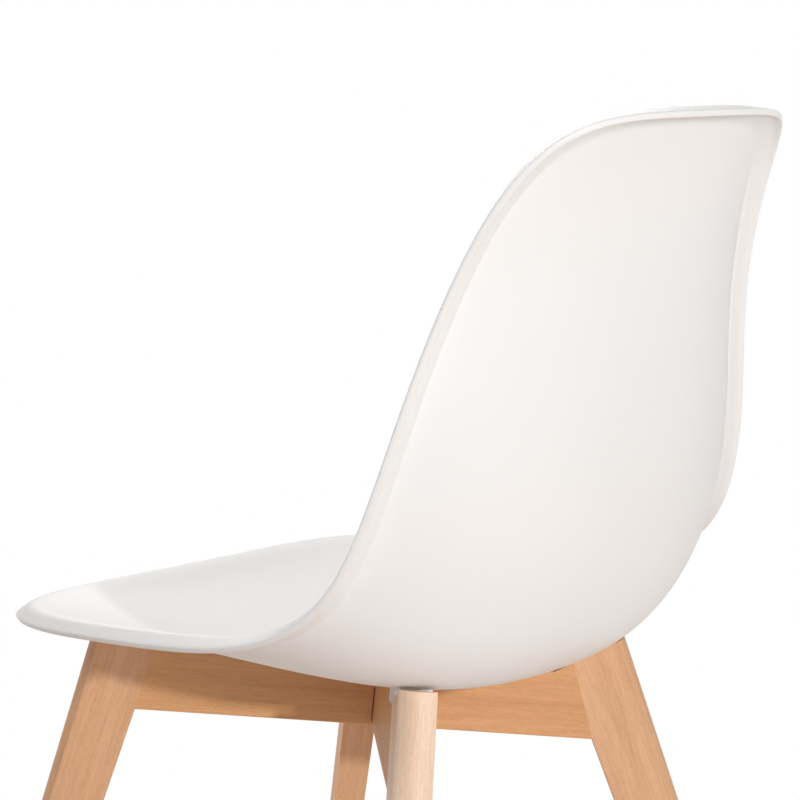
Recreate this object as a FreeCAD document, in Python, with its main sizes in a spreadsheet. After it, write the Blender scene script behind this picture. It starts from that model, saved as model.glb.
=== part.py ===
import FreeCAD, Part
import math
import os
import Sketcher
from FreeCAD import Placement, Rotation, Vector

# Moulded plastic shell chair on a crossed beech base.
# The base is two flat frames, each a rail with a front leg and a rear leg, that cross in a half lap.
# The base stands level in its own frame of reference: origin where the rails' lower edges cross,
# X to the sitter's left, Y to the rear, Z up. The whole chair is then leaned back by frame_tilt.

doc = FreeCAD.newDocument("shell_chair")

# Driving dimensions, in millimetres and degrees
DIMENSIONS = {
    # stance
    "crossing_height": 355,
    "crossing_offset": -4.8,
    "frame_tilt": 7.3,
    "arm_angle": 45,
    # beech rails and legs
    "wood_thickness": 27,
    "rail_height": 58,
    "lap_gap": 0.8,
    "front_reach": 188,
    "front_joint_angle": 11.2,
    "front_leg_width": 46,
    "front_inner_splay": 13.5,
    "front_outer_splay": 11.7,
    "rear_reach": 152,
    "rear_joint_angle": 19.6,
    "rear_leg_width": 52,
    "rear_inner_splay": 25.7,
    "rear_outer_splay": 24,
    "leg_top_gap": 5.8,
    "leg_shoulder_drop": 1.6,
    "foot_thickness": 21,
    "front_leg_bow": 5,
    "rear_leg_bow": 7,
    "edge_round": 1.2,
    # dowels in each leg joint, set in from the rail's lower and upper edges
    "dowel_radius": 4,
    "dowel_length": 28,
    "dowel_chamfer": 0.8,
    "dowel_low_margin": 14,
    "dowel_high_margin": 16,
    # seats cut in the rails for the shell's bosses, run out from the bolts
    "boss_seat_depth": 7.5,
    "boss_inner_run": 6.5,
    "front_boss_run": 18,
    "rear_boss_run": 8.5,
    "boss_gap": 0.5,
    "boss_side_margin": 0.4,
    "boss_toe": 3,
    "boss_leg_run": 8.6,
    "boss_corner": 3.3,
    # bolts up through the rails, set back from the leg joints
    "front_bolt_setback": 72,
    "rear_bolt_setback": 42.5,
    "bolt_radius": 3,
    "bolt_length": 45,
    "bolt_end_gap": 1.2,
    "bolt_point": 1,
    "bolt_head_radius": 5.25,
    "bolt_head_height": 3.3,
    "bolt_key_size": 4,
    "bolt_key_depth": 2.2,
    "bolt_hole_radius": 3.4,
    "counterbore_radius": 8,
    "washer_radius": 6.2,
    "washer_thickness": 1.6,
    "spring_washer_radius": 5.5,
    "spring_washer_thickness": 1.6,
    "spring_washer_opening": 14,
    "washer_bore": 3.2,
    "insert_radius": 4.2,
    "insert_length": 9,
    "insert_groove": 0.4,
    "thread_gap": 0.1,
    # glides under the legs, and the nails that hold them
    "glide_margin": 1,
    "glide_bevel": 2,
    "glide_height": 5,
    "glide_rim": 1.6,
    "glide_edge_round": 0.5,
    "nail_radius": 1,
    "nail_length": 15,
    "nail_point": 2,
    "nail_end_gap": 1,
    "nail_head_radius": 3,
    "nail_head_height": 1,
    "nail_head_gap": 0.5,
    "nail_recess": 1.5,
    # moulded shell
    "wall": 4.5,
    "rim_round": 3.6,
    "front_roll": 20,
    "hollow_round": 8,
    "flange_width": 16.4,
    "lip_round": 2,
    "flange_turn_front": 44,
    "flange_turn_side": 80.5,
    "flange_turn_top": 56.5,
    "fullness_front": 3,
    "fullness_middle": 1.86,
    "fullness_top": 2.96,
    "corner_across_front": 4.84,
    "corner_across_top": 4.53,
    "corner_along_front": 14.6,
    "corner_along_top": 24.1,
}

# Pull points of the shell's two guide curves, from the front edge back and up to the top edge:
# run from the crossing and rise over the rails' top for the centre line,
# then half width, run and rise for the side edge
GUIDE_STATIONS = {
    "front": (-211, 11, 182.5, -229.5, 13),
    "lip": (-161.5, 1, 214, -162, 18),
    "thigh": (-47, 10, 225, -77.5, 34.5),
    "hip": (95.5, 0, 228, 52.5, 53.5),
    "bend": (171, 30.5, 213, 117, 90.5),
    "waist": (197, 199, 199, 134.5, 192),
    "shoulder": (169, 380.5, 150, 138, 324),
    "top": (205.5, 429.5, 137, 176, 416.5),
}
GUIDE_COLUMNS = ("centre_run", "centre_rise", "half_width", "side_run", "side_rise")

# How finely the shell is laid out: columns round the rim, rings between its middle and the rim
COLUMNS = 96
RINGS = 22
INNER_SHARE = 0.9
TURNING_SHARE = 0.45
RIM_SAMPLES = 720

# Where along the shell the front edge's soft roll is whole, and where it has died out
SOFT_START = -0.9
SOFT_END = -0.35

# Shares of the flange's width at which its face is pulled, and what the soft roll adds to them
FACE_SHARES = (0.33, 0.66)
SOFT_SHARES = (0.3, 0.12)

# Shares of the lip's round at which its edge is pulled, along the flange and through it
LIP_ALONG = 0.15
LIP_THROUGH = 0.45

# How far cutting tools run past the wood
OVERRUN = 40


def fill_sheet():
    """Writes every driving dimension to the spreadsheet, one named cell each."""
    cells = doc.addObject("Spreadsheet::Sheet", "Sizes")
    rows = dict(DIMENSIONS)
    for station, values in GUIDE_STATIONS.items():
        for column, value in zip(GUIDE_COLUMNS, values):
            rows[f"{station}_{column}"] = value
    for row, (alias, value) in enumerate(rows.items(), start=1):
        cells.set(f"A{row}", alias.replace("_", " "))
        cells.set(f"B{row}", str(value))
        cells.setAlias(f"B{row}", alias)
    doc.recompute()
    return cells


sheet = fill_sheet()


class Size:
    """A number that keeps the expression by which it follows from the sheet's cells."""

    def __init__(self, value, text):
        self.value = float(value)
        self.text = text

    def joined(self, other, sign, value):
        return Size(value, f"({self.text} {sign} {other.text})")

    def __add__(self, other):
        other = as_size(other)
        return self.joined(other, "+", self.value + other.value)

    def __sub__(self, other):
        other = as_size(other)
        return self.joined(other, "-", self.value - other.value)

    def __mul__(self, other):
        other = as_size(other)
        return self.joined(other, "*", self.value * other.value)

    def __truediv__(self, other):
        other = as_size(other)
        return self.joined(other, "/", self.value / other.value)

    def __neg__(self):
        return Size(-self.value, f"(0 - {self.text})")


def as_size(number):
    return number if isinstance(number, Size) else Size(number, f"{number:g}")


def cell(alias):
    """The size held by one cell of the sheet."""
    return Size(sheet.get(alias), f"Sizes.{alias}")


def sine(angle):
    return Size(math.sin(math.radians(angle.value)), f"sin({angle.text} * 1 deg)")


def cosine(angle):
    return Size(math.cos(math.radians(angle.value)), f"cos({angle.text} * 1 deg)")


def tangent(angle):
    return Size(math.tan(math.radians(angle.value)), f"tan({angle.text} * 1 deg)")


def bind(target, path, size):
    target.setExpression(path, size.text)


ZERO = as_size(0)
TILT = cell("frame_tilt")
HEIGHT = cell("crossing_height")
THICKNESS = cell("wood_thickness")
RAIL_TOP = cell("rail_height")
SEAT_LEVEL = RAIL_TOP - cell("boss_seat_depth")
DOWEL_LEVELS = {"low": cell("dowel_low_margin"), "high": RAIL_TOP - cell("dowel_high_margin")}
BOLT_REACH = {end: cell(f"{end}_reach") - cell(f"{end}_bolt_setback") for end in ("front", "rear")}
GLIDE_HEIGHT = cell("glide_height")
GLIDE_RADIUS = cell("foot_thickness") / 2 - cell("glide_margin")

# Heights under a bolt's seat: the counterbore's floor, then each washer's lower face
BOLT_TIP = SEAT_LEVEL + cell("insert_length") - cell("bolt_end_gap")
BOLT_SEAT = BOLT_TIP - cell("bolt_length")
FLAT_WASHER_SEAT = BOLT_SEAT + cell("spring_washer_thickness")
COUNTERBORE_FLOOR = FLAT_WASHER_SEAT + cell("washer_thickness")

# Each arm of the crossed base: its heading about Z from +X, and which end of a rail it is
ARM_ANGLE = cell("arm_angle")
ARMS = {
    "front_left": (-ARM_ANGLE, "front"),
    "front_right": (ARM_ANGLE - 180, "front"),
    "rear_left": (ARM_ANGLE, "rear"),
    "rear_right": (as_size(180) - ARM_ANGLE, "rear"),
}

LEAN = Rotation(Vector(1, 0, 0), -TILT.value)
BASE_PLACE = Placement(Vector(0, cell("crossing_offset").value, HEIGHT.value), LEAN)


def arm_place(heading):
    """Where something laid out along one arm stands in the leaned chair."""
    turn = Placement(Vector(0, 0, 0), Rotation(Vector(0, 0, 1), heading.value))
    return BASE_PLACE.multiply(turn)


def new_body(label):
    body = doc.addObject("PartDesign::Body", label)
    body.Label = label
    return body


def sketch_on(body, plane, name, height=None, tip_axis=None, tip_angle=None):
    """An empty sketch on one of the body's own origin planes, raised or tipped where asked."""
    sketch = body.newObject("Sketcher::SketchObject", f"{body.Name}_{name}")
    support = [feature for feature in body.Origin.OriginFeatures if feature.Role == plane]
    sketch.AttachmentSupport = [(support[0], "")]
    sketch.MapMode = "FlatFace"
    if tip_axis is not None:
        sketch.AttachmentOffset = Placement(Vector(0, 0, 0), Rotation(tip_axis, tip_angle.value))
        bind(sketch, "AttachmentOffset.Rotation.Angle", tip_angle)
    if height is not None:
        bind(sketch, "AttachmentOffset.Base.z", height)
    return sketch


def place_point(sketch, geometry, position, x, y):
    """Ties a point of the sketch to its two coordinates."""
    for kind, size in (("DistanceX", x), ("DistanceY", y)):
        rule = Sketcher.Constraint(kind, -1, 1, geometry, position, size.value)
        index = sketch.addConstraint(rule)
        bind(sketch, f"Constraints[{index}]", size)


def arc_between(start, end, radius):
    """The shorter arc that runs anticlockwise from start to end."""
    half = (end - start) / 2
    inward = Vector(-half.y, half.x, 0).normalize()
    centre = start + half + inward * math.sqrt(radius * radius - half.Length * half.Length)
    circle = Part.Circle(centre, Vector(0, 0, 1), radius)
    turns = [math.atan2(point.y - centre.y, point.x - centre.x) for point in (start, end)]
    return Part.ArcOfCircle(circle, turns[0], turns[1])


def add_outline(sketch, corners, closing_radius=None):
    """A closed outline of straight edges through the corners, or with an arc as its last edge."""
    first = sketch.GeometryCount
    count = len(corners)
    points = [Vector(x.value, y.value, 0) for x, y in corners]
    for index in range(count - 1):
        sketch.addGeometry(Part.LineSegment(points[index], points[index + 1]))
    if closing_radius is None:
        sketch.addGeometry(Part.LineSegment(points[-1], points[0]))
    else:
        last = sketch.addGeometry(arc_between(points[-1], points[0], closing_radius.value))
        rule = sketch.addConstraint(Sketcher.Constraint("Radius", last, closing_radius.value))
        bind(sketch, f"Constraints[{rule}]", closing_radius)
    for index in range(count):
        following = first + (index + 1) % count
        sketch.addConstraint(Sketcher.Constraint("Coincident", first + index, 2, following, 1))
    for index, (x, y) in enumerate(corners):
        place_point(sketch, first + index, 1, x, y)


def add_circle(sketch, x, y, radius):
    index = sketch.GeometryCount
    sketch.addGeometry(Part.Circle(Vector(x.value, y.value, 0), Vector(0, 0, 1), radius.value))
    rule = sketch.addConstraint(Sketcher.Constraint("Radius", index, radius.value))
    bind(sketch, f"Constraints[{rule}]", radius)
    place_point(sketch, index, 3, x, y)


def pad(body, sketch, length):
    """Material to both sides of the sketch."""
    feature = body.newObject("PartDesign::Pad", f"{sketch.Name}_pad")
    feature.Profile = sketch
    feature.SideType = "Symmetric"
    bind(feature, "Length", length)
    sketch.Visibility = False
    doc.recompute()
    return feature


def pocket(body, sketch, length=None, symmetric=False, upward=False):
    """A cut from the sketch, right through where no length is given."""
    doc.recompute()
    before = body.Shape.Volume
    feature = body.newObject("PartDesign::Pocket", f"{sketch.Name}_cut")
    feature.Profile = sketch
    feature.SideType = "Symmetric" if symmetric else "One side"
    feature.Reversed = upward
    if length is None:
        feature.Type = "ThroughAll"
    else:
        bind(feature, "Length", length)
    sketch.Visibility = False
    doc.recompute()
    if body.Shape.Volume >= before:
        raise RuntimeError(f"{feature.Name} cuts nothing")
    return feature


def revolve(body, sketch, angle=None):
    """Material turned about the sketch's upright axis."""
    feature = body.newObject("PartDesign::Revolution", f"{sketch.Name}_turned")
    feature.Profile = sketch
    feature.ReferenceAxis = (sketch, ["V_Axis"])
    if angle is not None:
        bind(feature, "Angle", angle)
    sketch.Visibility = False
    doc.recompute()
    return feature


def round_edges(body, radius, chosen):
    """Rounds the body's edges that the test picks."""
    tip = body.Tip
    edges = tip.Shape.Edges
    names = [f"Edge{index}" for index, edge in enumerate(edges, start=1) if chosen(edge)]
    feature = body.newObject("PartDesign::Fillet", f"{body.Name}_round{len(body.Group)}")
    feature.Base = (tip, names)
    bind(feature, "Radius", radius)
    doc.recompute()
    return feature


def middle_of(edge):
    return edge.valueAt((edge.FirstParameter + edge.LastParameter) / 2)


def runs_lengthwise(edge):
    """True for an edge that is longer than the wood is thick and doesn't cross it."""
    start = edge.Vertexes[0].Point
    end = edge.Vertexes[-1].Point
    return edge.Length > 2 * THICKNESS.value and abs(end.y - start.y) < edge.Length / 3


def group_of(label, members):
    """Like pieces that share one node."""
    group = doc.addObject("Part::Compound", label)
    group.Label = label
    group.Links = members
    group.Placement = Placement()
    return group


def joint_sketch(body, name, reach, angle, outward):
    """A sketch on the slanting face where a leg meets a rail, upright along that face."""
    tip_angle = -angle if outward > 0 else angle
    height = reach if outward > 0 else -reach
    return sketch_on(body, "YZ_Plane", name, height, Vector(1, 0, 0), tip_angle)


def bore_for_dowels(body, name, reach, angle, outward):
    sketch = joint_sketch(body, name, reach, angle, outward)
    for distance in DOWEL_LEVELS.values():
        add_circle(sketch, ZERO, distance, cell("dowel_radius"))
    pocket(body, sketch, cell("dowel_length"), symmetric=True)


def boss_span(end):
    """Inner and outer reach of the flat seat cut for a boss."""
    return BOLT_REACH[end] - cell("boss_inner_run"), BOLT_REACH[end] + cell(f"{end}_boss_run")


def make_rail(label, lap_from_below, front_heading):
    """One rail: local X runs from the rear leg to the front leg."""
    body = new_body(label)
    front_reach = cell("front_reach")
    rear_reach = cell("rear_reach")
    inner, outer = boss_span("front")
    rear_inner, rear_outer = boss_span("rear")
    front_top = front_reach - RAIL_TOP * tangent(cell("front_joint_angle"))
    rear_top = rear_reach - RAIL_TOP * tangent(cell("rear_joint_angle"))
    sketch = sketch_on(body, "XZ_Plane", "side")
    add_outline(sketch, [
        (front_reach, ZERO),
        (front_top, RAIL_TOP),
        (outer, RAIL_TOP),
        (outer, SEAT_LEVEL),
        (inner, SEAT_LEVEL),
        (inner, RAIL_TOP),
        (-rear_inner, RAIL_TOP),
        (-rear_inner, SEAT_LEVEL),
        (-rear_outer, SEAT_LEVEL),
        (-rear_top, RAIL_TOP),
        (-rear_reach, ZERO),
    ])
    pad(body, sketch, THICKNESS)
    round_edges(body, cell("edge_round"), lambda edge: abs(middle_of(edge).z) < 0.01
                and runs_lengthwise(edge))
    half_lap = THICKNESS / 2 + cell("lap_gap")
    middle = RAIL_TOP / 2
    low, high = (-middle, middle) if lap_from_below else (middle, middle * 3)
    lap = sketch_on(body, "XZ_Plane", "lap")
    add_outline(lap, [(-half_lap, low), (half_lap, low), (half_lap, high), (-half_lap, high)])
    pocket(body, lap, THICKNESS * 2, symmetric=True)
    holes = sketch_on(body, "XY_Plane", "bolt_holes")
    sinks = sketch_on(body, "XY_Plane", "counterbores")
    for reach in (BOLT_REACH["front"], -BOLT_REACH["rear"]):
        add_circle(holes, reach, ZERO, cell("bolt_hole_radius"))
        add_circle(sinks, reach, ZERO, cell("counterbore_radius"))
    pocket(body, holes, upward=True)
    pocket(body, sinks, COUNTERBORE_FLOOR, upward=True)
    bore_for_dowels(body, "front_bores", front_reach, cell("front_joint_angle"), 1)
    bore_for_dowels(body, "rear_bores", rear_reach, cell("rear_joint_angle"), -1)
    body.Placement = arm_place(front_heading)
    return body


def floor_normal(heading):
    """The chair's upright direction, seen along one arm of the leaned base."""
    turn = math.radians(heading.value)
    lean = math.radians(TILT.value)
    return Vector(-math.sin(lean) * math.sin(turn), -math.sin(lean) * math.cos(turn), math.cos(lean))


def foot_place(heading):
    """The plane that a leg's foot is cut to, in the arm's own axes."""
    up = floor_normal(heading)
    turn = math.radians(heading.value)
    hinge = Vector(math.cos(turn), -math.sin(turn), 0)
    return Placement(up * (GLIDE_HEIGHT.value - HEIGHT.value), Rotation(hinge, TILT.value))


def foot_centre(heading, end):
    """Middle of a leg's foot, in the arm's own axes."""
    up = floor_normal(heading)
    inner = math.tan(math.radians(cell(f"{end}_inner_splay").value))
    outer = math.tan(math.radians(cell(f"{end}_outer_splay").value))
    slope = (inner + outer) / 2
    start = cell(f"{end}_reach").value + cell(f"{end}_leg_width").value / 2
    drop = GLIDE_HEIGHT.value - HEIGHT.value
    z = (drop - up.x * start) / (up.z - up.x * slope)
    return Vector(start - z * slope, 0, z)


def make_leg(label, heading, end):
    """One leg: local X runs outward along its arm."""
    body = new_body(label)
    reach = cell(f"{end}_reach")
    outer_edge = reach + cell(f"{end}_leg_width")
    inner_splay = tangent(cell(f"{end}_inner_splay"))
    outer_splay = tangent(cell(f"{end}_outer_splay"))
    depth = HEIGHT + OVERRUN
    side = sketch_on(body, "XZ_Plane", "side")
    add_outline(side, [
        (reach, ZERO),
        *leg_top_corners(end),
        (outer_edge + depth * outer_splay, -depth),
        (reach + depth * inner_splay, -depth),
    ])
    pad(body, side, THICKNESS)
    half = THICKNESS / 2
    thinned = half - (THICKNESS - cell("foot_thickness")) / 2 * depth / HEIGHT
    taper = sketch_on(body, "YZ_Plane", "taper")
    for sign in (1, -1):
        add_outline(taper, [
            (half * sign, ZERO),
            (THICKNESS * sign, ZERO),
            (THICKNESS * sign, -depth),
            (thinned * sign, -depth),
        ])
    pocket(body, taper, symmetric=True)
    splay = cell(f"{end}_outer_splay")
    crest = outer_edge * cosine(splay)
    bow = cell(f"{end}_leg_bow")
    bow_radius = (half * half + bow * bow) / (bow * 2)
    rounding = sketch_on(body, "XY_Plane", "bow", None, Vector(0, 1, 0), -splay)
    add_outline(rounding, [
        (crest - bow, half),
        (crest - bow, THICKNESS),
        (crest + THICKNESS, THICKNESS),
        (crest + THICKNESS, -THICKNESS),
        (crest - bow, -THICKNESS),
        (crest - bow, -half),
    ], bow_radius)
    pocket(body, rounding, symmetric=True)
    bore_for_dowels(body, "dowel_bores", reach, cell(f"{end}_joint_angle"), 1)
    place = foot_place(heading)
    floor = sketch_on(body, "XY_Plane", "floor")
    floor.AttachmentOffset = place
    bind(floor, "AttachmentOffset.Rotation.Angle", TILT)
    far = HEIGHT * 3
    add_outline(floor, [(-far, -far), (far, -far), (far, far), (-far, far)])
    pocket(body, floor)
    nail = sketch_on(body, "XY_Plane", "nail")
    nail.AttachmentOffset = place
    bind(nail, "AttachmentOffset.Rotation.Angle", TILT)
    spot = place.inverse().multVec(foot_centre(heading, end))
    add_circle(nail, as_size(round(spot.x, 4)), as_size(round(spot.y, 4)), cell("nail_radius"))
    pocket(body, nail, cell("nail_length") + cell("nail_end_gap"), upward=True)
    body.Placement = arm_place(heading)
    return body


def make_dowels(arm, heading, end):
    """The two dowels of one leg joint, as one node."""
    angle = cell(f"{end}_joint_angle").value
    reach = cell(f"{end}_reach").value
    length = cell("dowel_length")
    upright = Vector(-math.sin(math.radians(angle)), 0, math.cos(math.radians(angle)))
    outward = Vector(math.cos(math.radians(angle)), 0, math.sin(math.radians(angle)))
    pair = []
    for level, along in DOWEL_LEVELS.items():
        peg = doc.addObject("Part::Cylinder", f"dowel_{arm}_{level}")
        bind(peg, "Radius", cell("dowel_radius"))
        bind(peg, "Height", length)
        start = Vector(reach, 0, 0) + upright * along.value - outward * (length.value / 2)
        peg.Placement = Placement(start, Rotation(Vector(0, 0, 1), outward))
        doc.recompute()
        eased = doc.addObject("Part::Chamfer", f"dowel_{arm}_{level}_eased")
        eased.Base = peg
        size = cell("dowel_chamfer").value
        rings = [i for i, edge in enumerate(peg.Shape.Edges, start=1) if edge.Closed]
        eased.Edges = [(index, size, size) for index in rings]
        pair.append(eased)
    group = group_of(f"dowels_{arm}", pair)
    group.Placement = arm_place(heading)
    return group


def turned_piece(label, profile, place, angle=None):
    """A piece turned about its own upright axis from a half profile of radius and height."""
    body = new_body(label)
    sketch = sketch_on(body, "XZ_Plane", "profile")
    add_outline(sketch, profile)
    revolve(body, sketch, angle)
    body.Placement = place
    return body


def place_on_arm(heading, end, height):
    """An upright axis through the bolt hole of one arm, at a height above the rail's foot."""
    spot = Vector(BOLT_REACH[end].value, 0, height.value)
    return arm_place(heading).multiply(Placement(spot, Rotation()))


def make_bolt(label, heading, end):
    """A round-headed bolt with a hexagon socket."""
    radius = cell("bolt_radius")
    head = cell("bolt_head_radius")
    rise = cell("bolt_head_height")
    crown = head * 3 / 5
    profile = [
        (ZERO, -rise),
        (crown, -rise),
        (head, -rise * 2 / 5),
        (head, ZERO),
        (radius, ZERO),
        (radius, cell("bolt_length") - cell("bolt_point")),
        (radius - cell("bolt_point"), cell("bolt_length")),
        (ZERO, cell("bolt_length")),
    ]
    body = turned_piece(label, profile, place_on_arm(heading, end, BOLT_SEAT))
    key = sketch_on(body, "XY_Plane", "key", -rise)
    across = cell("bolt_key_size") / cosine(as_size(30)) / 2
    corners = []
    for step in range(6):
        angle = as_size(60 * step)
        corners.append((across * cosine(angle), across * sine(angle)))
    add_outline(key, corners)
    pocket(body, key, cell("bolt_key_depth"), upward=True)
    return body


def make_washer(label, heading, end):
    bore = cell("washer_bore")
    edge = cell("washer_radius")
    rise = cell("washer_thickness")
    profile = [(bore, ZERO), (edge, ZERO), (edge, rise), (bore, rise)]
    return turned_piece(label, profile, place_on_arm(heading, end, FLAT_WASHER_SEAT))


def make_spring_washer(label, heading, end):
    bore = cell("washer_bore")
    edge = cell("spring_washer_radius")
    rise = cell("spring_washer_thickness")
    profile = [(bore, ZERO), (edge, ZERO), (edge, rise), (bore, rise)]
    split = as_size(360) - cell("spring_washer_opening")
    return turned_piece(label, profile, place_on_arm(heading, end, BOLT_SEAT), split)


def make_insert(label, heading, end):
    """A brass insert with two grooves that lock it in its boss."""
    bore = cell("bolt_radius") + cell("thread_gap")
    edge = cell("insert_radius")
    waist = edge - cell("insert_groove")
    length = cell("insert_length")
    profile = [(bore, ZERO)]
    for share in (0, 2, 4):
        profile.append((edge, length * share / 5))
        profile.append((edge, length * (share + 1) / 5))
        if share < 4:
            profile.append((waist, length * (share + 1) / 5 + cell("insert_groove")))
            profile.append((waist, length * (share + 2) / 5 - cell("insert_groove")))
    profile.append((bore, length))
    return turned_piece(label, profile, place_on_arm(heading, end, SEAT_LEVEL))


def glide_place(heading, end):
    """On the floor under a leg's foot, upright."""
    foot = arm_place(heading).multVec(foot_centre(heading, end))
    return Placement(Vector(foot.x, foot.y, 0), Rotation())


def make_glide(label, heading, end):
    bore = cell("nail_radius")
    edge = GLIDE_RADIUS
    rise = GLIDE_HEIGHT
    eased = cell("glide_edge_round")
    sink = cell("nail_head_radius") + cell("nail_head_gap")
    recess = cell("nail_recess")
    profile = [
        (sink, ZERO),
        (edge - cell("glide_bevel"), ZERO),
        (edge - eased, cell("glide_rim") - eased),
        (edge, cell("glide_rim")),
        (edge, rise - eased),
        (edge - eased, rise),
        (bore, rise),
        (bore, recess),
        (sink, recess),
    ]
    return turned_piece(label, profile, glide_place(heading, end))


def make_nail(label, heading, end):
    """A nail through a glide, its head sunk in the glide's foot."""
    radius = cell("nail_radius")
    head = cell("nail_head_radius")
    recess = cell("nail_recess")
    top = GLIDE_HEIGHT + cell("nail_length")
    profile = [
        (ZERO, recess - cell("nail_head_height")),
        (head, recess - cell("nail_head_height")),
        (head, recess),
        (radius, recess),
        (radius, top - cell("nail_point")),
        (ZERO, top),
    ]
    return turned_piece(label, profile, glide_place(heading, end))


def guide_curve(points):
    """A smooth curve pulled along by its points, starting and ending on them."""
    spans = len(points) - 3
    knots = [index / spans for index in range(spans + 1)]
    curve = Part.BSplineCurve()
    curve.buildFromPolesMultsKnots(points, [4] + [1] * (spans - 1) + [4], knots, False, 3)
    return curve


def station_point(station, line, half_width=0.0):
    """A pull point of one guide, its rise counted from the rails' top."""
    run = cell(f"{station}_{line}_run").value
    rise = cell(f"{station}_{line}_rise").value
    return Vector(half_width, run, RAIL_TOP.value + rise)


CENTRE_GUIDE = guide_curve([station_point(name, "centre") for name in GUIDE_STATIONS])
SIDE_GUIDE = guide_curve([
    station_point(name, "side", cell(f"{name}_half_width").value) for name in GUIDE_STATIONS
])
WALL = cell("wall").value
FLANGE = cell("flange_width").value
FULLNESS = [cell(f"fullness_{zone}").value for zone in ("front", "middle", "top")]


def smooth_step(share):
    share = min(max(share, 0), 1)
    return share * share * (3 - 2 * share)


def sheet_point(along, across):
    """A point of the shell's upper face: along from -1 front to 1 top, across from -1 right to 1 left."""
    share = min(max((along + 1) / 2, 0), 1)
    centre = CENTRE_GUIDE.value(share)
    side = SIDE_GUIDE.value(share)
    rest = 1 - share
    power = rest * rest * FULLNESS[0] + 2 * share * rest * FULLNESS[1] + share * share * FULLNESS[2]
    lift = abs(across) ** power
    return Vector(side.x * across, centre.y + (side.y - centre.y) * lift,
                  centre.z + (side.z - centre.z) * lift)


def sheet_normal(along, across):
    """The upper face's outward direction there."""
    step = 0.002
    low = max(along - step, -1)
    high = min(along + step, 1)
    lengthwise = sheet_point(high, across) - sheet_point(low, across)
    crosswise = sheet_point(along, across + step) - sheet_point(along, across - step)
    return crosswise.cross(lengthwise).normalize()


def rim_spot(turn):
    """Along and across of the wall's edge, at a turn round the shell from its front centre."""
    forward = -math.cos(turn)
    sideways = math.sin(turn)
    blend = (1 + forward) / 2
    across_front = cell("corner_across_front").value
    along_front = cell("corner_along_front").value
    across_power = across_front + (cell("corner_across_top").value - across_front) * blend
    along_power = along_front + (cell("corner_along_top").value - along_front) * blend
    low, high = 0.5, 1.5
    for _ in range(40):
        middle = (low + high) / 2
        inside = abs(sideways * middle) ** across_power + abs(forward * middle) ** along_power < 1
        low, high = (middle, high) if inside else (low, middle)
    return forward * low, sideways * low


def column_turns():
    """Turns of the layout's columns, closer together where the rim bends more."""
    turns = [2 * math.pi * index / RIM_SAMPLES for index in range(RIM_SAMPLES + 1)]
    points = [sheet_point(*rim_spot(turn)) for turn in turns]
    steps = [points[index + 1] - points[index] for index in range(RIM_SAMPLES)]
    lengths = [step.Length for step in steps]
    bends = [steps[index].getAngle(steps[index - 1]) for index in range(RIM_SAMPLES)]
    total_length = sum(lengths)
    total_bend = sum(bends)
    measure = [0]
    for length, bend in zip(lengths, bends):
        share = length / total_length * (1 - TURNING_SHARE) + bend / total_bend * TURNING_SHARE
        measure.append(measure[-1] + share)
    chosen = []
    index = 0
    for column in range(COLUMNS // 2 + 1):
        wanted = measure[-1] * column / COLUMNS
        while index < RIM_SAMPLES - 1 and measure[index + 1] < wanted:
            index += 1
        part = (wanted - measure[index]) / (measure[index + 1] - measure[index])
        chosen.append(turns[index] + part * (turns[index + 1] - turns[index]))
    chosen[0] = 0
    chosen[-1] = math.pi
    return chosen + [2 * math.pi - turn for turn in reversed(chosen[1:-1])]


def flange_turn(along):
    """How far the rim flange turns out from the wall: least at the front, most at the sides."""
    share = (along + 1) / 2
    front = cell("flange_turn_front").value
    side = cell("flange_turn_side").value
    top = cell("flange_turn_top").value
    towards_top = smooth_step((share - 0.85) / 0.15)
    return math.radians(front + (side - front) * smooth_step(share) + (top - side) * towards_top)


def ring_shares():
    """Shares of the way from the shell's middle to its rim at which rings are laid."""
    pitch = INNER_SHARE / RINGS
    shares = [pitch / 3] + [pitch * ring for ring in range(1, RINGS + 1)]
    rest = 1 - INNER_SHARE
    return shares + [INNER_SHARE + rest * 0.38, INNER_SHARE + rest * 0.7]


def softness(along):
    """1 where the front edge rolls over softly, falling to 0 along the sides."""
    return smooth_step((SOFT_END - along) / (SOFT_END - SOFT_START))


def shell_section(turn):
    """Layout points from the upper face's middle out over the rim and back to the lower face's middle."""
    along, across = rim_spot(turn)
    edge = sheet_point(along, across)
    normal = sheet_normal(along, across)
    ahead = sheet_point(*rim_spot(turn + 0.001)) - sheet_point(*rim_spot(turn - 0.001))
    outward = ahead.cross(normal).normalize()
    if outward.dot(edge - sheet_point(along * 0.98, across * 0.98)) < 0:
        outward = outward * -1
    angle = flange_turn(along)
    reach = outward * math.cos(angle) - normal * math.sin(angle)
    face = normal * math.cos(angle) + outward * math.sin(angle)
    under = normal * -WALL
    soft = softness(along)
    roll = cell("front_roll").value * soft / (edge - sheet_point(0, 0)).Length
    spots = [(along * share * (1 - roll), across * share * (1 - roll)) for share in ring_shares()]
    upper = [sheet_point(*spot) for spot in spots]
    lower = [sheet_point(*spot) - sheet_normal(*spot) * WALL for spot in spots]
    shoulder = sheet_point(along * (1 - roll), across * (1 - roll))
    bend = edge + outward * (cell("rim_round").value * math.tan(angle / 2))
    hollow = WALL * math.tan(angle / 2)
    corner = bend + under - outward * hollow
    ease = cell("hollow_round").value
    lip = cell("lip_round").value
    nose = [(FLANGE * (share + more * soft), 0) for share, more in zip(FACE_SHARES, SOFT_SHARES)]
    nose += [
        (FLANGE - lip, 0), (FLANGE - lip * LIP_ALONG, 0), (FLANGE, lip * LIP_THROUGH),
        (FLANGE, WALL - lip * LIP_THROUGH), (FLANGE - lip * LIP_ALONG, WALL), (FLANGE - lip, WALL),
        ((hollow + ease + FLANGE - lip) / 2, WALL), (hollow + ease, WALL),
    ]
    over = [bend + reach * out - face * down for out, down in nose]
    return upper + [shoulder, bend] + over + [corner - outward * ease] + lower[::-1]


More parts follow.
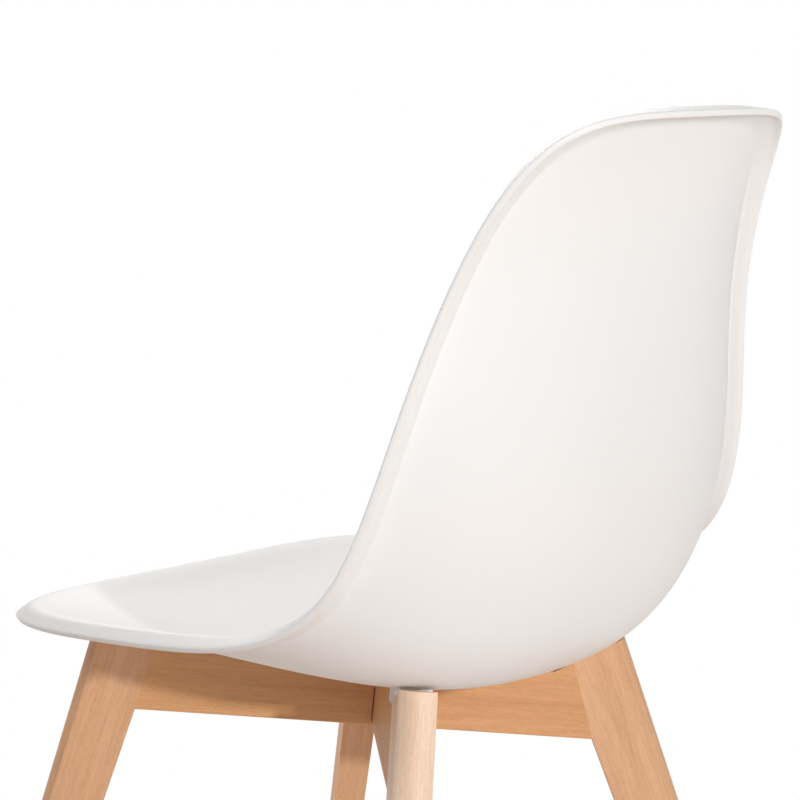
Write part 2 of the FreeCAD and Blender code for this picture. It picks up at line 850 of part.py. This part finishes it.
def closed_skin(sections, first, last):
    """The solid inside a smooth skin whose columns go round and whose ends are single points."""
    count = len(sections)
    rows = [[first] * count]
    rows += [list(row) for row in zip(*sections)]
    rows.append([last] * count)
    spans = len(rows) - 3
    surface = Part.BSplineSurface()
    surface.buildFromPolesMultsKnots(
        rows, [4] + [1] * (spans - 1) + [4], [1] * (count + 1),
        [float(index) for index in range(spans + 1)],
        [float(index) for index in range(count + 1)], False, True, 3, 3)
    halves = [surface.toShape(0, spans, 0, count / 2), surface.toShape(0, spans, count / 2, count)]
    skin = Part.makeCompound(halves)
    skin.sewShape(0.0001)
    solid = Part.Solid(skin.Shells[0])
    if solid.Volume < 0:
        solid.reverse()
    return solid


def height_on_shell(x, y, depth):
    """Height of the shell over a point of the base's plan, at a depth under the upper face."""
    along, across = 0.0, x / SIDE_GUIDE.value(0.5).x
    for _ in range(30):
        point = sheet_point(along, across) - sheet_normal(along, across) * depth
        side = SIDE_GUIDE.value((along + 1) / 2)
        across += (x - point.x) / side.x
        slope = sheet_point(along + 0.01, across).y - sheet_point(along - 0.01, across).y
        along += max(-0.1, min(0.1, (y - point.y) / slope * 0.02))
    return point.z


def shell_over_arm(heading, reach, depth, across=0.0):
    """Height of the shell over a point of one arm, at a depth under the upper face."""
    turn = math.radians(heading.value)
    x = reach * math.cos(turn) - across * math.sin(turn)
    y = reach * math.sin(turn) + across * math.cos(turn)
    return height_on_shell(x, y, depth)


def leg_top(end):
    """Height of the crest at a leg's outer top edge, a gap below the shell."""
    outer_edge = (cell(f"{end}_reach") + cell(f"{end}_leg_width")).value
    splay = math.tan(math.radians(cell(f"{end}_outer_splay").value))
    height = RAIL_TOP.value
    for _ in range(20):
        under = shell_over_arm(ARMS[f"{end}_left"][0], outer_edge - height * splay, WALL)
        height += (under - cell("leg_top_gap").value - height) / 2
    return as_size(round(height, 2))


def leg_top_corners(end):
    """Corners of a leg's top seen from the side: its root on the rail, its shoulder and its crest."""
    splay = cell(f"{end}_outer_splay")
    crest_level = leg_top(end)
    root = cell(f"{end}_reach") - RAIL_TOP * tangent(cell(f"{end}_joint_angle"))
    crest = cell(f"{end}_reach") + cell(f"{end}_leg_width") - crest_level * tangent(splay)
    shoulder = crest - cell(f"{end}_leg_bow") / cosine(splay)
    shoulder_level = crest_level - cell("leg_shoulder_drop")
    return [(root, RAIL_TOP), (shoulder, shoulder_level), (crest, crest_level)]


def boss_foot(end, shorter):
    """A boss's foot seen from the side, from the crossing outward. A rear one reaches over its leg."""
    gap = cell("boss_gap").value
    level = SEAT_LEVEL.value
    inner, outer = [side.value for side in boss_span(end)]
    if end == "front":
        return [(inner + gap, level), (outer - gap - shorter, level)]
    corners = [(x.value, z.value) for x, z in leg_top_corners(end)]
    root, root_level = corners[0]
    shoulder, shoulder_level = corners[1]
    rise = (shoulder_level - root_level) / (shoulder - root)
    lift = gap * math.sqrt(1 + rise * rise)
    tail = root + cell("boss_leg_run").value - shorter
    return [
        (inner + gap, level),
        (outer - cell("boss_toe").value, level),
        (root, root_level + lift),
        (tail, root_level + (tail - root) * rise + lift),
    ]


def make_boss(heading, end):
    """A moulded block under the shell, which stands on a rail's seat and fills up to the wall."""
    steps = 4
    half_width = THICKNESS.value / 2 - cell("boss_side_margin").value
    corner = cell("boss_corner").value
    outlines = []
    for share in (-1, -1 + corner / half_width, 0, 1 - corner / half_width, 1):
        across = half_width * share
        foot = boss_foot(end, corner if abs(share) == 1 else 0)
        inner = foot[0][0]
        outer = foot[-1][0]
        roof = []
        for step in range(steps + 1):
            reach = outer + (inner - outer) * step / steps
            roof.append((reach, shell_over_arm(heading, reach, WALL / 2, across)))
        corners = [Vector(reach, across, height) for reach, height in foot + roof]
        outlines.append(Part.makePolygon(corners + corners[:1]))
    block = Part.makeLoft(outlines, True, True)
    block.rotate(Vector(0, 0, 0), Vector(0, 0, 1), heading.value)
    return block


def make_shell(label):
    """The one-piece moulded seat and back, with its rim flange, four bosses and their insert bores."""
    sections = [shell_section(turn) for turn in column_turns()]
    middle = sheet_point(0, 0)
    underside = middle - sheet_normal(0, 0) * WALL
    skin = closed_skin(sections, middle, underside)
    bosses = [make_boss(heading, end) for heading, end in ARMS.values()]
    solid = skin.fuse(bosses)
    bores = []
    for heading, end in ARMS.values():
        turn = math.radians(heading.value)
        reach = BOLT_REACH[end].value
        foot = Vector(reach * math.cos(turn), reach * math.sin(turn), SEAT_LEVEL.value)
        bores.append(Part.makeCylinder(cell("insert_radius").value, cell("insert_length").value, foot))
    solid = solid.cut(bores)
    piece = doc.addObject("Part::Feature", label)
    piece.Label = label
    piece.Shape = solid.Solids[0] if len(solid.Solids) == 1 else solid
    piece.Placement = BASE_PLACE
    return piece


def build_all():
    pieces = [make_shell("seat_shell")]
    pieces.append(make_rail("rail_over", True, ARMS["front_left"][0]))
    pieces.append(make_rail("rail_under", False, ARMS["front_right"][0]))
    for arm, (heading, end) in ARMS.items():
        pieces.append(make_leg(f"leg_{arm}", heading, end))
        pieces.append(make_dowels(arm, heading, end))
        pieces.append(make_glide(f"glide_{arm}", heading, end))
    fasteners = {
        "seat_bolts": make_bolt,
        "flat_washers": make_washer,
        "spring_washers": make_spring_washer,
        "threaded_inserts": make_insert,
    }
    for label, make in fasteners.items():
        members = [make(f"{label}_{arm}", heading, end) for arm, (heading, end) in ARMS.items()]
        pieces.append(group_of(label, members))
    nails = [make_nail(f"nail_{arm}", heading, end) for arm, (heading, end) in ARMS.items()]
    pieces.append(group_of("glide_nails", nails))
    return pieces


def check_and_write(pieces):
    """Stops on anything failed or hollow, then writes each piece to its own file."""
    doc.recompute()
    for item in doc.Objects:
        if "Invalid" in item.State or "Error" in item.State:
            raise RuntimeError(f"{item.Name} failed: {item.State}")
    for piece in pieces:
        if piece.Shape.isNull() or not piece.Shape.isValid():
            raise RuntimeError(f"{piece.Label} has no valid shape")
    os.makedirs("parts", exist_ok=True)
    for piece in pieces:
        piece.Shape.exportStep(f"parts/{piece.Label}.step")
        box = piece.Shape.BoundBox
        print(piece.Label, len(piece.Shape.Solids), "solids", round(piece.Shape.Volume), "mm3",
              "y", round(box.YMin, 1), round(box.YMax, 1), "z", round(box.ZMin, 2), round(box.ZMax, 1))


check_and_write(build_all())
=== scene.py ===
import math

import bpy
from mathutils import Matrix, Vector

# Looks for a moulded plastic shell chair on a crossed beech base.
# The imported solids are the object; this script gives them materials, light and a camera.

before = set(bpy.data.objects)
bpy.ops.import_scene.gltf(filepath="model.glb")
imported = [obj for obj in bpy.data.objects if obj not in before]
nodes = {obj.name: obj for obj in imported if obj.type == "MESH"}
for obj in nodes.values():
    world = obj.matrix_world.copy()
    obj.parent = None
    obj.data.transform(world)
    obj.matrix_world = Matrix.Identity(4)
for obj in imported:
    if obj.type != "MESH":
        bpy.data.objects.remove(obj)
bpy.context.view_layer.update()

# Camera, solved from the straight wooden edges: the direction it looks back along, and its place
CAMERA_BACK = Vector((0.76104549, 0.63607054, 0.12737356))
CAMERA_PLACE = Vector((1.56522, 1.31473, 0.85777))
SENSOR_WIDTH = 36
FOCAL_LENGTH = 126.9
CLIP_NEAR = 0.05
CLIP_FAR = 50

# Base: how far the chair leans back, and the slopes of its legs in the leaned base
FRAME_TILT = math.radians(7.3)
ARM_ANGLE = math.radians(45)
FRONT_LEG_SPLAY = math.radians(12.6)
REAR_LEG_SPLAY = math.radians(24.9)

# Light levels: white at a strength of 1 is what the camera sees behind the chair
BACKDROP_STRENGTH = 1
BACKDROP_COLOUR = (1, 1, 1)
AMBIENT_STRENGTH = 0.23
AMBIENT_COLOUR = (1, 0.99, 0.98)

# Lamps: their common distance and the point they aim at, then for each its turn to the camera's
# right and its rise in degrees, its size, its power and its colour
LAMP_DISTANCE = 3.0
AIM = Vector((0, 0, 0.45))
LAMPS = {
    "key": (30, 15, 0.12, 46, (0.985, 0.995, 1)),
    "low": (45, -4, 1.2, 11, (1, 0.993, 0.985)),
    "left": (-75, 42, 1.6, 29, (1, 0.985, 0.97)),
    "fill": (187, 34, 1.8, 32, (1, 0.98, 0.965)),
}

# Floor: it fades to white between two distances from the chair, and is partly white near it
FLOOR_COLOUR = (0.8, 0.69, 0.62)
FLOOR_RADIUS = 3.0
FLOOR_SIDES = 128
FLOOR_FADE_START = 0.5
FLOOR_FADE_END = 1.0
FLOOR_WHITE_SHARE = 0.45

# Surface of the plastic: its sheen, and the darker tone and size of its slow drift in colour
PLASTIC_SPECULAR = 0.42
PLASTIC_DRIFT_TONE = 0.985
PLASTIC_DRIFT_SCALE = 7
PLASTIC_BUMP_HEIGHT = 0.0002

# Metal: the darker tone and the size of the drift in its sheen
METAL_DRIFT_TONE = 0.85
METAL_DRIFT_SCALE = 900

# Surface of the lacquered beech
WOOD_ROUGHNESS = 0.56
WOOD_SPECULAR = 0.5
WOOD_BUMP_STRENGTH = 0.12
WOOD_BUMP_HEIGHT = 0.0004

# Beech grain: how fine each layer of the pattern is along the grain and across it
BAND_GRAIN = (2.2, 42)
FIGURE_GRAIN = (9, 260)
FIBRE_GRAIN = (45, 800)
FLECK_GRAIN = (230, 2000)

# Where each board's pattern is taken from, so that no two look alike
LEG_SHIFT_START = Vector((0, 0.05, 0))
LEG_SHIFT_STEP = Vector((0.37, 0.21, 0.13))
RAIL_SHIFT_START = Vector((0.9, 0, 0.71))
RAIL_SHIFT_STEP = Vector((0.4, 0.33, 0))

# Tones that the figure and the flecks are tinted towards, and how much of each layer shows
FIGURE_TONE = (0.9, 0.82, 0.75)
FLECK_TONE = (0.78, 0.66, 0.56)
FIGURE_SHARE = 0.32
FIBRE_SHARE = 0.8
FLECK_SHARE = 0.55

# Colours of the pieces, the wood's as its pale and its deep tone
SHELL_COLOUR = (0.82, 0.815, 0.81)
GLIDE_COLOUR = (0.6, 0.59, 0.56)
ZINC_COLOUR = (0.62, 0.63, 0.65)
BRASS_COLOUR = (0.75, 0.58, 0.28)
LEG_WOOD = ((0.8, 0.49, 0.29), (0.655, 0.365, 0.195))
# The near rear-left leg's tones are lighter than the other legs': partly a paler board, partly painted
# sheen and painted light on that one leg
PALE_AND_SHEEN_LEG_WOOD = ((0.92, 0.73, 0.57), (0.85, 0.62, 0.46))
RAIL_WOOD = ((0.735, 0.41, 0.195), (0.615, 0.315, 0.137))


def new_material(name):
    material = bpy.data.materials.new(name)
    material.use_nodes = True
    material.node_tree.nodes.clear()
    return material


def add_node(tree, kind, **settings):
    node = tree.nodes.new(kind)
    for key, value in settings.items():
        setattr(node, key, value)
    return node


def add_shader(tree, roughness, metallic=0.0, specular=0.5):
    """A Principled shader joined to the material's output."""
    shader = add_node(tree, "ShaderNodeBsdfPrincipled")
    shader.inputs["Roughness"].default_value = roughness
    shader.inputs["Metallic"].default_value = metallic
    shader.inputs["Specular IOR Level"].default_value = specular
    output = add_node(tree, "ShaderNodeOutputMaterial")
    tree.links.new(shader.outputs["BSDF"], output.inputs["Surface"])
    return shader


def add_noise(tree, vector, scale, detail=3.0, roughness=0.5, distortion=0.0):
    noise = add_node(tree, "ShaderNodeTexNoise")
    noise.inputs["Scale"].default_value = scale
    noise.inputs["Detail"].default_value = detail
    noise.inputs["Roughness"].default_value = roughness
    noise.inputs["Distortion"].default_value = distortion
    tree.links.new(vector, noise.inputs["Vector"])
    return noise


def add_ramp(tree, factor, stops):
    """A colour ramp through (position, colour) stops."""
    ramp = add_node(tree, "ShaderNodeValToRGB")
    points = ramp.color_ramp.elements
    while len(points) < len(stops):
        points.new(0.5)
    for point, (position, colour) in zip(points, stops):
        point.position = position
        point.color = (*colour, 1)
    tree.links.new(factor, ramp.inputs["Fac"])
    return ramp


def add_bump(tree, shader, height, strength, distance):
    bump = add_node(tree, "ShaderNodeBump")
    bump.inputs["Strength"].default_value = strength
    bump.inputs["Distance"].default_value = distance
    tree.links.new(height, bump.inputs["Height"])
    tree.links.new(bump.outputs["Normal"], shader.inputs["Normal"])


def grey(level):
    return (level, level, level)


def plastic_material(name, colour, roughness, grain_scale, grain_strength):
    """Moulded plastic: an even colour that drifts very slightly, with a fine eggshell grain."""
    material = new_material(name)
    tree = material.node_tree
    shader = add_shader(tree, roughness, specular=PLASTIC_SPECULAR)
    place = add_node(tree, "ShaderNodeTexCoord").outputs["Object"]
    drift = add_noise(tree, place, PLASTIC_DRIFT_SCALE, detail=1)
    darker = tuple(channel * PLASTIC_DRIFT_TONE for channel in colour)
    ramp = add_ramp(tree, drift.outputs["Fac"], [(0.35, darker), (0.65, colour)])
    tree.links.new(ramp.outputs["Color"], shader.inputs["Base Color"])
    grain = add_noise(tree, place, grain_scale, detail=2)
    add_bump(tree, shader, grain.outputs["Fac"], grain_strength, PLASTIC_BUMP_HEIGHT)
    return material


def mix_colours(tree, mode, factor, first, second):
    mix = add_node(tree, "ShaderNodeMix", data_type="RGBA", blend_type=mode)
    mix.inputs["Factor"].default_value = factor
    tree.links.new(first, mix.inputs[6])
    tree.links.new(second, mix.inputs[7])
    return mix.outputs[2]


def wood_material(name, tones, turn, shift):
    """Beech: turn lays the pattern's X along the grain, shift moves it within the tree."""
    pale, deep = tones
    material = new_material(name)
    tree = material.node_tree
    shader = add_shader(tree, WOOD_ROUGHNESS, specular=WOOD_SPECULAR)
    place = add_node(tree, "ShaderNodeTexCoord").outputs["Object"]
    along = add_node(tree, "ShaderNodeMapping", vector_type="POINT")
    along.inputs["Rotation"].default_value = turn
    along.inputs["Location"].default_value = shift
    tree.links.new(place, along.inputs["Vector"])

    def stretched(grain):
        lengthwise, crosswise = grain
        scale = add_node(tree, "ShaderNodeMapping", vector_type="POINT")
        scale.inputs["Scale"].default_value = (lengthwise, crosswise, crosswise)
        tree.links.new(along.outputs["Vector"], scale.inputs["Vector"])
        return scale.outputs["Vector"]

    bands = add_noise(tree, stretched(BAND_GRAIN), 1, detail=4, roughness=0.55, distortion=0.6)
    colour = add_ramp(tree, bands.outputs["Fac"], [(0.32, deep), (0.68, pale)]).outputs["Color"]
    figure = add_noise(tree, stretched(FIGURE_GRAIN), 1, detail=2, roughness=0.5, distortion=1.2)
    figure_tone = add_ramp(tree, figure.outputs["Fac"], [(0.4, FIGURE_TONE), (0.56, grey(1))])
    colour = mix_colours(tree, "MULTIPLY", FIGURE_SHARE, colour, figure_tone.outputs["Color"])
    fibres = add_noise(tree, stretched(FIBRE_GRAIN), 1, detail=3, roughness=0.6)
    fibre_tone = add_ramp(tree, fibres.outputs["Fac"], [(0.3, grey(0.87)), (0.7, grey(1.05))])
    colour = mix_colours(tree, "MULTIPLY", FIBRE_SHARE, colour, fibre_tone.outputs["Color"])
    flecks = add_noise(tree, stretched(FLECK_GRAIN), 1, detail=1, roughness=0.4)
    fleck_tone = add_ramp(tree, flecks.outputs["Fac"], [(0.6, grey(1)), (0.72, FLECK_TONE)])
    colour = mix_colours(tree, "MULTIPLY", FLECK_SHARE, colour, fleck_tone.outputs["Color"])
    tree.links.new(colour, shader.inputs["Base Color"])
    add_bump(tree, shader, fibres.outputs["Fac"], WOOD_BUMP_STRENGTH, WOOD_BUMP_HEIGHT)
    return material


def metal_material(name, colour, roughness):
    """Plated or turned metal with a fine brushed drift in its sheen."""
    material = new_material(name)
    tree = material.node_tree
    shader = add_shader(tree, roughness, metallic=1)
    place = add_node(tree, "ShaderNodeTexCoord").outputs["Object"]
    drift = add_noise(tree, place, METAL_DRIFT_SCALE, detail=2)
    darker = tuple(channel * METAL_DRIFT_TONE for channel in colour)
    ramp = add_ramp(tree, drift.outputs["Fac"], [(0.3, darker), (0.7, colour)])
    tree.links.new(ramp.outputs["Color"], shader.inputs["Base Color"])
    return material


def dress(name, material):
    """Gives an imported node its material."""
    piece = nodes[name]
    piece.data.materials.clear()
    piece.data.materials.append(material)


def grain_turn(direction):
    """The mapping rotation that lays a direction of the chair along the pattern's X."""
    return direction.rotation_difference(Vector((1, 0, 0))).to_euler("XYZ")


LEAN = Matrix.Rotation(-FRAME_TILT, 3, "X")
ARM_HEADINGS = {
    "front_left": -ARM_ANGLE,
    "front_right": ARM_ANGLE - math.pi,
    "rear_left": ARM_ANGLE,
    "rear_right": math.pi - ARM_ANGLE,
}


def arm_direction(arm, fall=0.0):
    """Direction along one arm of the base, falling by an angle from the level."""
    heading = ARM_HEADINGS[arm]
    level = Vector((math.cos(heading), math.sin(heading), 0)) * math.cos(fall)
    return LEAN @ (level + Vector((0, 0, -math.sin(fall))))


# Materials
shell_plastic = plastic_material(
    "shell_plastic", SHELL_COLOUR, roughness=0.44, grain_scale=2200, grain_strength=0.05)
glide_plastic = plastic_material(
    "glide_plastic", GLIDE_COLOUR, roughness=0.6, grain_scale=3000, grain_strength=0.1)
zinc_steel = metal_material("zinc_steel", ZINC_COLOUR, roughness=0.35)
insert_brass = metal_material("insert_brass", BRASS_COLOUR, roughness=0.38)

dress("seat_shell", shell_plastic)
for order, arm in enumerate(ARM_HEADINGS):
    splay = FRONT_LEG_SPLAY if arm.startswith("front") else REAR_LEG_SPLAY
    leg_grain = grain_turn(arm_direction(arm, math.pi / 2 - splay))
    leg_shift = LEG_SHIFT_START + LEG_SHIFT_STEP * order
    # The near rear-left leg takes lighter tones: partly a paler board, partly painted sheen and
    # painted light
    tones = PALE_AND_SHEEN_LEG_WOOD if arm == "rear_left" else LEG_WOOD
    leg_wood = wood_material(f"beech_leg_{arm}", tones, leg_grain, leg_shift)
    dress(f"leg_{arm}", leg_wood)
    dowel_grain = grain_turn(arm_direction(arm))
    dowel_wood = wood_material(f"dowel_wood_{arm}", LEG_WOOD, dowel_grain, leg_shift)
    dress(f"dowels_{arm}", dowel_wood)
    dress(f"glide_{arm}", glide_plastic)
for order, (rail, arm) in enumerate((("rail_over", "front_left"), ("rail_under", "front_right"))):
    rail_grain = grain_turn(arm_direction(arm))
    rail_shift = RAIL_SHIFT_START + RAIL_SHIFT_STEP * order
    rail_wood = wood_material(f"beech_{rail}", RAIL_WOOD, rail_grain, rail_shift)
    dress(rail, rail_wood)
for name in ("glide_nails", "seat_bolts", "flat_washers", "spring_washers"):
    dress(name, zinc_steel)
dress("threaded_inserts", insert_brass)


def seen_directly(tree):
    """1 where the camera looks straight at the surface, or sees it in metal or glass."""
    path = add_node(tree, "ShaderNodeLightPath")
    either = add_node(tree, "ShaderNodeMath", operation="MAXIMUM")
    tree.links.new(path.outputs["Is Camera Ray"], either.inputs[0])
    tree.links.new(path.outputs["Is Glossy Ray"], either.inputs[1])
    whole = add_node(tree, "ShaderNodeMath", operation="MAXIMUM")
    tree.links.new(either.outputs[0], whole.inputs[0])
    tree.links.new(path.outputs["Is Transmission Ray"], whole.inputs[1])
    return whole.outputs[0]


def make_world():
    """Even soft light on the chair, and a white ground behind it."""
    world = bpy.data.worlds.new("studio")
    bpy.context.scene.world = world
    world.use_nodes = True
    tree = world.node_tree
    tree.nodes.clear()
    ambient = add_node(tree, "ShaderNodeBackground")
    ambient.inputs["Color"].default_value = (*AMBIENT_COLOUR, 1)
    ambient.inputs["Strength"].default_value = AMBIENT_STRENGTH
    backdrop = add_node(tree, "ShaderNodeBackground")
    backdrop.inputs["Strength"].default_value = BACKDROP_STRENGTH
    backdrop.inputs["Color"].default_value = (*BACKDROP_COLOUR, 1)
    mix = add_node(tree, "ShaderNodeMixShader")
    output = add_node(tree, "ShaderNodeOutputWorld")
    tree.links.new(seen_directly(tree), mix.inputs["Fac"])
    tree.links.new(ambient.outputs[0], mix.inputs[1])
    tree.links.new(backdrop.outputs[0], mix.inputs[2])
    tree.links.new(mix.outputs[0], output.inputs["Surface"])


def make_floor():
    """A round pale floor that takes the chair's shadow and fades to white away from it."""
    bpy.ops.mesh.primitive_circle_add(
        vertices=FLOOR_SIDES, radius=FLOOR_RADIUS, fill_type="NGON")
    floor = bpy.context.object
    floor.name = "floor"
    material = new_material("floor")
    tree = material.node_tree
    matt = add_node(tree, "ShaderNodeBsdfDiffuse")
    matt.inputs["Color"].default_value = (*FLOOR_COLOUR, 1)
    white = add_node(tree, "ShaderNodeEmission")
    white.inputs["Strength"].default_value = BACKDROP_STRENGTH
    place = add_node(tree, "ShaderNodeTexCoord").outputs["Object"]
    distance = add_node(tree, "ShaderNodeVectorMath", operation="LENGTH")
    tree.links.new(place, distance.inputs[0])
    fade = add_node(tree, "ShaderNodeMapRange", interpolation_type="SMOOTHSTEP")
    fade.inputs["From Min"].default_value = FLOOR_FADE_START
    fade.inputs["From Max"].default_value = FLOOR_FADE_END
    fade.inputs["To Min"].default_value = FLOOR_WHITE_SHARE
    tree.links.new(distance.outputs["Value"], fade.inputs["Value"])
    share = add_node(tree, "ShaderNodeMath", operation="MULTIPLY")
    tree.links.new(fade.outputs["Result"], share.inputs[0])
    tree.links.new(seen_directly(tree), share.inputs[1])
    mix = add_node(tree, "ShaderNodeMixShader")
    output = add_node(tree, "ShaderNodeOutputMaterial")
    tree.links.new(share.outputs[0], mix.inputs["Fac"])
    tree.links.new(matt.outputs[0], mix.inputs[1])
    tree.links.new(white.outputs[0], mix.inputs[2])
    tree.links.new(mix.outputs[0], output.inputs["Surface"])
    floor.data.materials.append(material)


CAMERA_RIGHT = Vector((0, 0, 1)).cross(CAMERA_BACK).normalized()
CAMERA_LEVEL_BACK = Vector((CAMERA_BACK.x, CAMERA_BACK.y, 0)).normalized()


def add_lamp(name, turn, rise, size, power, colour):
    """A soft square lamp aimed at the chair, turned from the camera's side to its right and raised."""
    lamp = bpy.data.lights.new(name, "AREA")
    lamp.shape = "SQUARE"
    lamp.size = size
    lamp.energy = power
    lamp.color = colour
    holder = bpy.data.objects.new(name, lamp)
    bpy.context.scene.collection.objects.link(holder)
    turn, rise = math.radians(turn), math.radians(rise)
    level = CAMERA_LEVEL_BACK * math.cos(turn) + CAMERA_RIGHT * math.sin(turn)
    place = AIM + (level * math.cos(rise) + Vector((0, 0, math.sin(rise)))) * LAMP_DISTANCE
    holder.location = place
    holder.rotation_mode = "QUATERNION"
    holder.rotation_quaternion = (AIM - place).to_track_quat("-Z", "Y")


def make_camera():
    camera = bpy.data.cameras.new("camera")
    camera.lens = FOCAL_LENGTH
    camera.sensor_width = SENSOR_WIDTH
    camera.clip_start = CLIP_NEAR
    camera.clip_end = CLIP_FAR
    holder = bpy.data.objects.new("camera", camera)
    bpy.context.scene.collection.objects.link(holder)
    holder.location = CAMERA_PLACE
    holder.rotation_mode = "QUATERNION"
    holder.rotation_quaternion = (-CAMERA_BACK).to_track_quat("-Z", "Y")
    bpy.context.scene.camera = holder


make_world()
make_floor()
for lamp_name, lamp_values in LAMPS.items():
    add_lamp(lamp_name, *lamp_values)
make_camera()
bpy.context.scene.view_settings.view_transform = "Standard"
